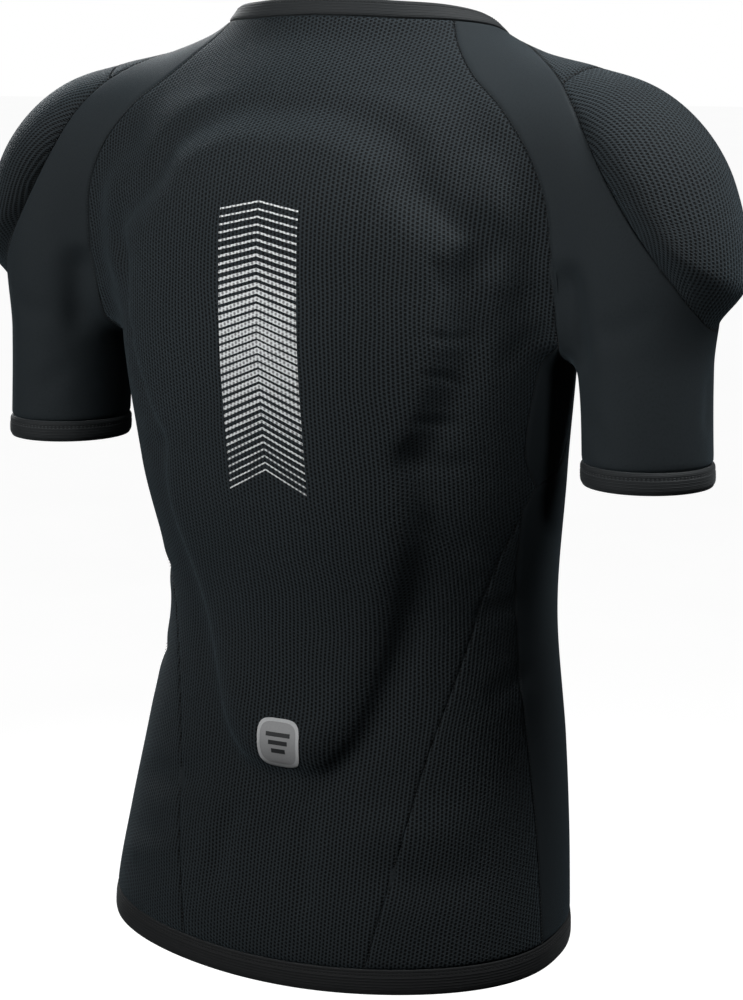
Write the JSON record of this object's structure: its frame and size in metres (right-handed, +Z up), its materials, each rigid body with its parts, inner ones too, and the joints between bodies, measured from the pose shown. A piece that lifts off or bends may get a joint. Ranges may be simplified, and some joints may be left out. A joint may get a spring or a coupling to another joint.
{
  "type": "padded compression shirt",
  "caption": "Short-sleeved padded compression shirt in its worn form: knitted mesh and smooth panels over a back protector and shoulder pads.",
  "frame": {"origin": "base of the neck, in the middle of the neck opening, level with the seam at the side of the collar", "axes": "+Z up, the front faces -Y, the wearer's left side is at +X"},
  "size_m": [0.6002, 0.2538, 0.6977],
  "materials": {
    "mesh_knit": "matte charcoal warp-knit mesh with small holes",
    "smooth_knit": "smooth near-black elastic knit with a slight sheen",
    "band_knit": "doubled charcoal knit with rows of stitching",
    "pad_foam": "soft matte protective foam"
  },
  "bodies": {
    "root": {"back_panel": "mesh_knit", "front_panel": "smooth_knit", "side_panel_left": "mesh_knit", "side_panel_right": "mesh_knit", "underarm_gusset_left": "smooth_knit", "underarm_gusset_right": "smooth_knit", "shoulder_yoke_left": "mesh_knit", "shoulder_yoke_right": "mesh_knit", "shoulder_pocket_left": "mesh_knit", "shoulder_pocket_right": "mesh_knit", "sleeve_left": "smooth_knit", "sleeve_right": "smooth_knit", "cuff_left": "band_knit", "cuff_right": "band_knit", "hem_band": "band_knit", "collar_band": "band_knit", "back_protector": "pad_foam", "shoulder_pad_left": "pad_foam", "shoulder_pad_right": "pad_foam"}
  },
  "joints": []
}
